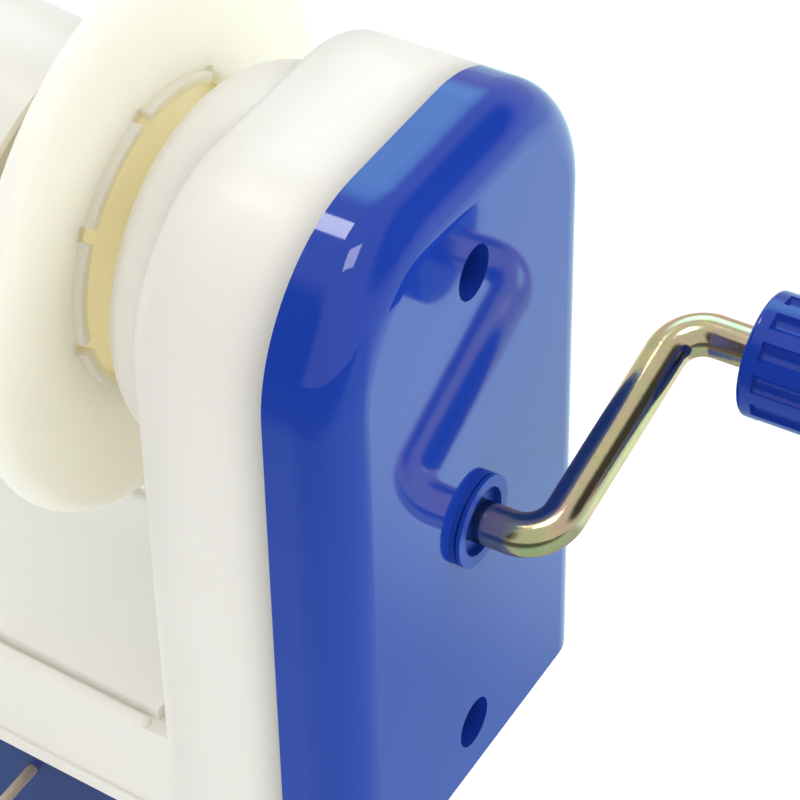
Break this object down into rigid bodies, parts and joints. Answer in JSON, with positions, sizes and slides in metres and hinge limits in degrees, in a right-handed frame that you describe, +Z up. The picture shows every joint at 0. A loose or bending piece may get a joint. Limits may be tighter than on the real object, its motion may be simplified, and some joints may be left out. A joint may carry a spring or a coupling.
{
  "type": "yarn ball winder",
  "caption": "Hand-cranked yarn ball winder: a geared tower turns a rotor that carries a tilted bobbin, on a base that clamps to a table's edge.",
  "frame": {"origin": "on the table plane under the base, at the clamp screw's axis", "axes": "+X along the crank axis towards the crank, +Y towards the table, +Z up"},
  "size_m": [0.2494, 0.0946, 0.2415],
  "materials": {
    "white": "moulded, semi-gloss",
    "blue": "moulded, high gloss",
    "navy": "moulded, satin",
    "cream": "moulded, semi-gloss",
    "nylon": "moulded, satin",
    "steel": "turned",
    "zinc": "yellow-passivated zinc",
    "brass": "turned"
  },
  "bodies": {
    "frame": {"base_tray": "white", "bottom_plate": "navy", "plate_screws": "steel", "tower_shell": "white", "bearing_sleeve": "nylon", "sun_gear": "nylon", "side_cover": "blue", "cover_screws": "steel", "crank_bush": "blue", "guide_socket": "navy", "clamp_bracket": "navy", "bracket_screws": "steel", "clamp_nut": "brass", "feed_guide": "zinc"},
    "crank": {"crank_rod": "zinc", "crank_gear": "nylon", "crank_clip": "steel", "knob_stop": "zinc"},
    "knob": {"crank_knob": "blue", "knob_cap": "blue"},
    "rotor": {"main_shaft": "steel", "main_pinion": "nylon", "shaft_clip": "steel", "rotor_dish": "cream", "rotor_plate": "cream", "rotor_screws": "steel", "bobbin_spindle": "steel", "spindle_washer": "steel", "spindle_nut": "steel"},
    "planet": {"planet_gear": "nylon", "planet_pinion": "nylon"},
    "bobbin": {"bobbin": "white", "bobbin_gear": "nylon", "bobbin_cap": "white"},
    "guide": {"guide_wire": "zinc", "guide_collar": "steel"},
    "clamp_pad": {"clamp_pad": "navy"},
    "clamp_screw": {"clamp_screw": "steel", "tommy_bar": "zinc", "bar_caps": "navy"}
  },
  "joints": [
    {"name": "crank_turn", "type": "hinge", "parent": "frame", "child": "crank", "pos_m": [0.057, 0, 0.0515], "axis": [1, 0, 0], "continuous": true},
    {"name": "knob_spin", "type": "hinge", "parent": "crank", "child": "knob", "pos_m": [0.083, 0.03899, 0.06417], "axis": [1, 0, 0], "continuous": true},
    {"name": "rotor_turn", "type": "hinge", "parent": "frame", "child": "rotor", "pos_m": [0, 0, 0.0845], "axis": [1, 0, 0], "continuous": true},
    {"name": "planet_turn", "type": "hinge", "parent": "rotor", "child": "planet", "pos_m": [0, 0.014, 0.0845], "axis": [1, 0, 0], "continuous": true},
    {"name": "bobbin_spin", "type": "hinge", "parent": "rotor", "child": "bobbin", "pos_m": [-0.014, 0, 0.0845], "axis": [0.9848, 0, -0.1736], "continuous": true},
    {"name": "guide_swivel", "type": "hinge", "parent": "frame", "child": "guide", "pos_m": [-0.11157, 0, 0.03], "axis": [0, 0, 1], "range_deg": [-90, 90]},
    {"name": "clamp_slide", "type": "slide", "parent": "frame", "child": "clamp_pad", "axis": [0, 0, 1], "range_m": [-0.008, 0.022]},
    {"name": "clamp_screw_turn", "type": "hinge", "parent": "clamp_pad", "child": "clamp_screw", "pos_m": [0, 0, -0.05], "axis": [0, 0, 1], "range_deg": [-730, 1990]}
  ],
  "couplings": [
    {"joint": "rotor_turn", "follows": "crank_turn", "ratio": -4.5},
    {"joint": "planet_turn", "follows": "crank_turn", "ratio": -3.6818},
    {"joint": "bobbin_spin", "follows": "crank_turn", "ratio": -0.73636},
    {"joint": "clamp_screw_turn", "follows": "clamp_slide", "rad_per_m": 1570.8}
  ]
}
